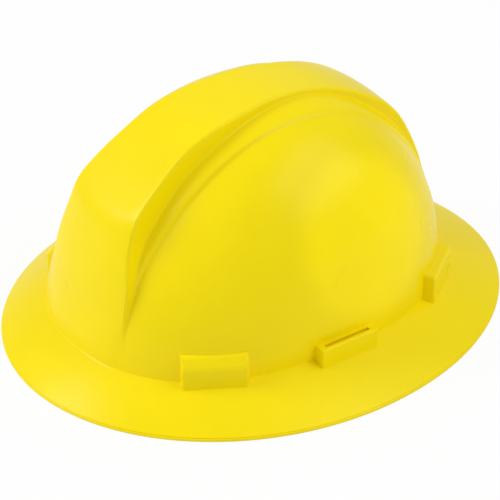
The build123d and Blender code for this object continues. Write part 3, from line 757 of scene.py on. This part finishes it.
def swept_band(form, layer, path, closed):
    """A flat band with soft edges along a path of places and outward directions."""
    half, thick, soft = strap_width / 2, strap_thick / 2, 0.0003
    profile = [(-half, -thick + soft), (-half + soft, -thick), (half - soft, -thick), (half, -thick + soft),
               (half, thick - soft), (half - soft, thick), (-half + soft, thick), (-half, thick - soft)]
    sides = len(profile)
    steps, lengths = [], [0.0]
    for k, (spot, out) in enumerate(path):
        steps.append([form.verts.new(spot + strap_side * a + out * b) for a, b in profile])
        if k:
            lengths.append(lengths[-1] + (spot - path[k - 1][0]).length)
    if closed:
        steps.append(steps[0])
        lengths.append(lengths[-1] + (path[0][0] - path[-1][0]).length)
    for k in range(len(steps) - 1):
        for m in range(sides):
            n = (m + 1) % sides
            face = form.faces.new((steps[k][m], steps[k][n], steps[k + 1][n], steps[k + 1][m]))
            for loop, (a, b) in zip(face.loops, ((k, m), (k, n), (k + 1, n), (k + 1, m))):
                loop[layer].uv = (profile[b][0] + profile[b][1], lengths[a])
    if not closed:
        for face in (form.faces.new(steps[0][::-1]), form.faces.new(steps[-1])):
            for loop in face.loops:
                loop[layer].uv = (loop.vert.co.x, loop.vert.co.z)


def arch_path(rise, shift, first, last, count):
    """Places along the arch over the head, moved outwards by a shift."""
    path = []
    for k in range(count):
        turn = math.pi * (first + (last - first) * k / (count - 1))
        reach = (strap_length - strap_ahead if turn > math.pi / 2 else strap_ahead) - arch_inset
        out = Vector((-math.cos(turn) / reach, math.sin(turn) / rise))
        out.normalize()
        spot = crossing + strap_along * (-math.cos(turn) * reach) + Vector((0, 0, math.sin(turn) * rise))
        direction = strap_along * out.x + Vector((0, 0, out.y))
        path.append((spot + direction * shift, direction))
    return path


def crown_strap(name, rise, flip):
    """A strap: the arch, its two ends folded back inside, and a loop round each bar."""
    mesh = bpy.data.meshes.new(name)
    form = bmesh.new()
    layer = form.loops.layers.uv.new("cloth")
    swept_band(form, layer, arch_path(rise, shift=0, first=0, last=1, count=97), False)
    fold = strap_thick + fold_gap
    for first, last in ((fold_start, fold_end), (1 - fold_end, 1 - fold_start)):
        swept_band(form, layer, arch_path(rise, -fold, first, last, count=14), False)
    loop_steps = 28
    for bar in (front_bar, rear_bar):
        ring = []
        for k in range(loop_steps):
            turn = math.tau * k / loop_steps
            out = strap_along * math.cos(turn) + Vector((0, 0, math.sin(turn)))
            ring.append((bar + out * loop_middle, out))
        swept_band(form, layer, ring, True)
    if flip:
        for vertex in form.verts:
            vertex.co.x = -vertex.co.x
    bmesh.ops.recalc_face_normals(form, faces=form.faces)
    form.to_mesh(mesh)
    form.free()
    return add_piece(name, mesh, webbing, 50)


strap_left = crown_strap("webbing_strap_left", left_rise, False)
strap_right = crown_strap("webbing_strap_right", right_rise, True)
for strap, node in ((strap_left, "crown_strap_left"), (strap_right, "crown_strap_right")):
    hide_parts(node)
    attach(strap, "shell_body")

thread = plastic("sewing_thread", (0.30, 0.30, 0.31), roughness=0.7, grain=4000, depth=0.00005, tone=0.2)


def stitch_tree():
    """Stitches along a curve: the curve is divided evenly, and a small rounded stitch lies on each place."""
    tree = bpy.data.node_groups.new("stitch_row", "GeometryNodeTree")
    tree.interface.new_socket("Row", in_out="INPUT", socket_type="NodeSocketGeometry")
    for name, metres in (("Pitch", 0.003), ("Thickness", 0.0003), ("Stitch Length", 0.002)):
        socket = tree.interface.new_socket(name, in_out="INPUT", socket_type="NodeSocketFloat")
        socket.default_value = metres
    tree.interface.new_socket("Stitches", in_out="OUTPUT", socket_type="NodeSocketGeometry")
    made, links = tree.nodes, tree.links
    given, result = made.new("NodeGroupInput"), made.new("NodeGroupOutput")
    divide = made.new("GeometryNodeResampleCurve")
    divide.mode = "LENGTH"
    stitch = made.new("GeometryNodeMeshUVSphere")
    stitch.inputs["Segments"].default_value = 6
    stitch.inputs["Rings"].default_value = 4
    stitch.inputs["Radius"].default_value = 1
    size = made.new("ShaderNodeCombineXYZ")
    halves = made.new("ShaderNodeMath")
    halves.operation = "MULTIPLY"
    halves.inputs[1].default_value = 0.5
    tangent = made.new("GeometryNodeInputTangent")
    turn = made.new("FunctionNodeAlignRotationToVector")
    turn.axis = "Z"
    place = made.new("GeometryNodeInstanceOnPoints")
    real = made.new("GeometryNodeRealizeInstances")
    paint = made.new("GeometryNodeSetMaterial")
    paint.inputs["Material"].default_value = thread
    links.new(given.outputs["Row"], divide.inputs["Curve"])
    links.new(given.outputs["Pitch"], divide.inputs["Length"])
    links.new(given.outputs["Stitch Length"], halves.inputs[0])
    links.new(given.outputs["Thickness"], size.inputs["X"])
    links.new(given.outputs["Thickness"], size.inputs["Y"])
    links.new(halves.outputs[0], size.inputs["Z"])
    links.new(tangent.outputs[0], turn.inputs["Vector"])
    links.new(divide.outputs[0], place.inputs["Points"])
    links.new(stitch.outputs["Mesh"], place.inputs["Instance"])
    links.new(turn.outputs[0], place.inputs["Rotation"])
    links.new(size.outputs[0], place.inputs["Scale"])
    links.new(place.outputs[0], real.inputs[0])
    links.new(real.outputs[0], paint.inputs["Geometry"])
    links.new(paint.outputs[0], result.inputs[0])
    return tree


stitching = stitch_tree()


def stitches(name, rows, pitch, thickness, length, body):
    """Rows of stitches as one plain mesh on one body."""
    line = bpy.data.curves.new(name + "_rows", "CURVE")
    line.dimensions = "3D"
    for row in rows:
        spline = line.splines.new("POLY")
        spline.points.add(len(row) - 1)
        for point, spot in zip(spline.points, row):
            point.co = (*spot, 1)
    holder = bpy.data.objects.new(name + "_rows", line)
    bpy.context.scene.collection.objects.link(holder)
    modifier = holder.modifiers.new("stitches", "NODES")
    modifier.node_group = stitching
    sockets = {s.name: s.identifier for s in stitching.interface.items_tree if s.in_out == "INPUT"}
    modifier[sockets["Pitch"]] = pitch
    modifier[sockets["Thickness"]] = thickness
    modifier[sockets["Stitch Length"]] = length
    mesh = bpy.data.meshes.new_from_object(holder.evaluated_get(bpy.context.evaluated_depsgraph_get()))
    bpy.data.objects.remove(holder)
    piece = add_piece(name, mesh, thread, 60)
    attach(piece, body)


seam_start, seam_end = 0.045, 0.12
seam_aside = 0.0065
outer_seam = strap_thick / 2 + 0.0001
inner_seam = -strap_thick * 1.5 - 0.0002
strap_rows = []
for rise, flip in ((left_rise, False), (right_rise, True)):
    for first, last in ((seam_start, seam_end), (1 - seam_end, 1 - seam_start)):
        for shift in (outer_seam, inner_seam):
            for aside in (-seam_aside, seam_aside):
                row = [spot + strap_side * aside for spot, out in arch_path(rise, shift, first, last, 12)]
                strap_rows.append([Vector((-s.x, s.y, s.z)) if flip else s for s in row])
stitches("strap_stitches", strap_rows, pitch=0.0026, thickness=0.00025, length=0.0018, body="shell_body")


# Soft pads: a foam disc under the crossing of the straps, the brow pad inside the headband and the nape pad.
# Each is foam in knitted cloth, puffed up by a short cloth simulation. The first two have sewn lines.
def knit(name, dark, light, scale, depth):
    """Knitted cloth: small crossed loops with a soft sheen and a little pilling, and painted shade where the
    cloth sinks between the loops.
    """
    material = bpy.data.materials.new(name)
    material.use_nodes = True
    made, links = material.node_tree.nodes, material.node_tree.links
    shader = made["Principled BSDF"]
    place = made.new("ShaderNodeTexCoord")
    cells = made.new("ShaderNodeTexVoronoi")
    cells.inputs["Scale"].default_value = scale
    links.new(place.outputs["Object"], cells.inputs["Vector"])
    wear = made.new("ShaderNodeTexNoise")
    wear.inputs["Scale"].default_value = 90
    wear.inputs["Detail"].default_value = 4
    links.new(place.outputs["Object"], wear.inputs["Vector"])
    # Painted shade: the colour darkens away from each loop's middle, where the cloth sinks, patchy with the
    # wear noise.
    painted_loop_shade = made.new("ShaderNodeMath")
    painted_loop_shade.operation = "MULTIPLY"
    links.new(cells.outputs["Distance"], painted_loop_shade.inputs[0])
    links.new(wear.outputs["Fac"], painted_loop_shade.inputs[1])
    tones = made.new("ShaderNodeValToRGB")
    tones.color_ramp.elements[0].color = (*light, 1)
    tones.color_ramp.elements[1].color = (*dark, 1)
    tones.color_ramp.elements[1].position = 0.45
    links.new(painted_loop_shade.outputs[0], tones.inputs["Fac"])
    links.new(tones.outputs["Color"], shader.inputs["Base Color"])
    shader.inputs["Roughness"].default_value = 0.92
    shader.inputs["Sheen Weight"].default_value = 0.35
    bump = made.new("ShaderNodeBump")
    bump.inputs["Strength"].default_value = 0.7
    bump.inputs["Distance"].default_value = depth
    bump.invert = True
    links.new(cells.outputs["Distance"], bump.inputs["Height"])
    links.new(bump.outputs["Normal"], shader.inputs["Normal"])
    return material


pad_cloth = knit("pad_knit", dark=(0.018, 0.018, 0.020), light=(0.07, 0.071, 0.076), scale=900, depth=0.0003)


def puffed_pad(name, node, voxel, shrink, cap, channels):
    """A padded copy of a soft CAD piece, inflated as cloth and held within a cap of its own surface."""
    mesh = nodes[node].data.copy()
    mesh.name = name
    form = bmesh.new()
    form.from_mesh(mesh)
    bmesh.ops.remove_doubles(form, verts=form.verts, dist=0.00001)
    form.to_mesh(mesh)
    form.free()
    pad = bpy.data.objects.new(name, mesh)
    bpy.context.scene.collection.objects.link(pad)
    remesh = pad.modifiers.new("even_mesh", "REMESH")
    remesh.mode, remesh.voxel_size = "VOXEL", voxel
    even = bpy.data.meshes.new_from_object(pad.evaluated_get(bpy.context.evaluated_depsgraph_get()))
    pad.modifiers.clear()
    pad.data = even
    count = len(even.vertices)
    spots, outs = np.zeros(count * 3), np.zeros(count * 3)
    even.vertices.foreach_get("co", spots)
    even.vertex_normals.foreach_get("vector", outs)
    spots, outs = spots.reshape(-1, 3), outs.reshape(-1, 3)
    start = spots - outs * shrink
    even.vertices.foreach_set("co", start.ravel())
    even.update()
    grown = start
    cloth = pad.modifiers.new("cloth", "CLOTH")
    cloth.settings.use_pressure = True
    cloth.settings.uniform_pressure_force = 4
    cloth.settings.effector_weights.gravity = 0
    cloth.settings.quality = 5
    last_frame = 20
    cloth.point_cache.frame_start, cloth.point_cache.frame_end = 1, last_frame
    scene = bpy.context.scene
    for frame_number in range(1, last_frame + 1):
        scene.frame_set(frame_number)
    result = bpy.data.meshes.new_from_object(pad.evaluated_get(bpy.context.evaluated_depsgraph_get()))
    grown = np.zeros(count * 3)
    result.vertices.foreach_get("co", grown)
    grown = grown.reshape(-1, 3)
    bpy.data.meshes.remove(result)
    pad.modifiers.clear()
    scene.frame_set(1)
    move = grown - start
    far = np.linalg.norm(move, axis=1)[:, None]
    grown = start + move * np.minimum(1, cap / np.maximum(far, 1e-9))
    grown = grown - outs * channels(spots, outs)[:, None]
    even.vertices.foreach_set("co", grown.ravel())
    even.update()
    finer = pad.modifiers.new("finer", "SUBSURF")
    finer.levels = finer.render_levels = 1
    smooth = bpy.data.meshes.new_from_object(pad.evaluated_get(bpy.context.evaluated_depsgraph_get()))
    bpy.data.objects.remove(pad)
    pad = add_piece(name, smooth, pad_cloth, 80)
    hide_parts(node)
    return pad


seam_width = 0.0016
ring_middle, ring_radius, ring_deep = 0.0007, 0.0255, 0.0011
tuft_radius, tuft_deep = 0.004, 0.0009


def sewn_ring(spots, outs):
    """The crown pad's sewn ring, and a tuft at its middle."""
    apart = np.hypot(spots[:, 0], spots[:, 1] - ring_middle)
    ring = ring_deep * np.exp(-((apart - ring_radius) / seam_width) ** 2)
    return ring + tuft_deep * np.exp(-(apart / tuft_radius) ** 2)


channel_pitch, channel_deep = 0.022, 0.0014
brow_radius, brow_centre = 0.11, 0.02


def sewn_channels(spots, outs):
    """The brow pad's upright channels, 22 mm apart, on the side that meets the forehead."""
    turn = np.arctan2(spots[:, 0], brow_centre - spots[:, 1])
    inwards = -(outs[:, 0] * spots[:, 0] + outs[:, 1] * (spots[:, 1] - brow_centre)) > 0
    run = turn * brow_radius / channel_pitch
    dip = np.exp(-((run - np.round(run)) * channel_pitch / seam_width) ** 2)
    return np.where(inwards, channel_deep * dip, 0)


def plain(spots, outs):
    """No sewing, as on the nape pad."""
    return np.zeros(len(spots))


crown_pad = puffed_pad("crown_cushion", "crown_pad", voxel=0.0022, shrink=0.0008, cap=0.0008,
                       channels=sewn_ring)
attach(crown_pad, "shell_body")
brow_pad = puffed_pad("brow_cushion", "brow_pad", voxel=0.0024, shrink=0.0007, cap=0.0006,
                      channels=sewn_channels)
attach(brow_pad, "headband_body")
nape_pad = puffed_pad("nape_cushion", "nape_pad", voxel=0.0020, shrink=0.0006, cap=0.0006, channels=plain)
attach(nape_pad, "nape_housing")


# Headband, arms and studs: black high-density polyethylene, moulded flat and bent round, a little glossier
# than the hangers. The studs are acetal.
strip_plastic = plastic("headband_polyethylene", (0.031, 0.031, 0.033), roughness=0.38, grain=1100,
                        depth=0.00003, tone=0.1)
for node in ("headband", "left_arm", "right_arm"):
    finish_node(node, strip_plastic)
acetal = plastic("stud_acetal", (0.024, 0.024, 0.025), roughness=0.28, grain=1800, depth=0.00002, tone=0.08)
for node in ("left_stud", "right_stud"):
    finish_node(node, acetal)

# Ratchet: the housing's base and cover, the detent ring, the knob with its pinion and click spring in
# black nylon, held by zinc-plated screws.
ratchet_nylon = plastic("ratchet_nylon", (0.026, 0.026, 0.027), roughness=0.42, grain=1300, depth=0.00004,
                        tone=0.12)
for node in ("housing_base", "housing_cover", "detent_ring", "adjusting_knob", "pinion", "click_spring"):
    finish_node(node, ratchet_nylon)


def plated_steel(name):
    """Zinc-plated steel with fine turning marks and slightly uneven gloss."""
    material = bpy.data.materials.new(name)
    material.use_nodes = True
    made, links = material.node_tree.nodes, material.node_tree.links
    shader = made["Principled BSDF"]
    shader.inputs["Metallic"].default_value = 1
    place = made.new("ShaderNodeTexCoord")
    marks = made.new("ShaderNodeTexNoise")
    marks.inputs["Scale"].default_value = 1400
    marks.inputs["Detail"].default_value = 4
    links.new(place.outputs["Object"], marks.inputs["Vector"])
    tones = made.new("ShaderNodeValToRGB")
    tones.color_ramp.elements[0].color = (0.42, 0.42, 0.43, 1)
    tones.color_ramp.elements[1].color = (0.66, 0.66, 0.67, 1)
    links.new(marks.outputs["Fac"], tones.inputs["Fac"])
    links.new(tones.outputs["Color"], shader.inputs["Base Color"])
    gloss = made.new("ShaderNodeMapRange")
    gloss.inputs["To Min"].default_value = 0.22
    gloss.inputs["To Max"].default_value = 0.42
    links.new(marks.outputs["Fac"], gloss.inputs["Value"])
    links.new(gloss.outputs["Result"], shader.inputs["Roughness"])
    return material


steel = plated_steel("zinc_plated_steel")
for node in ("housing_screws", "knob_screw"):
    finish_node(node, steel)
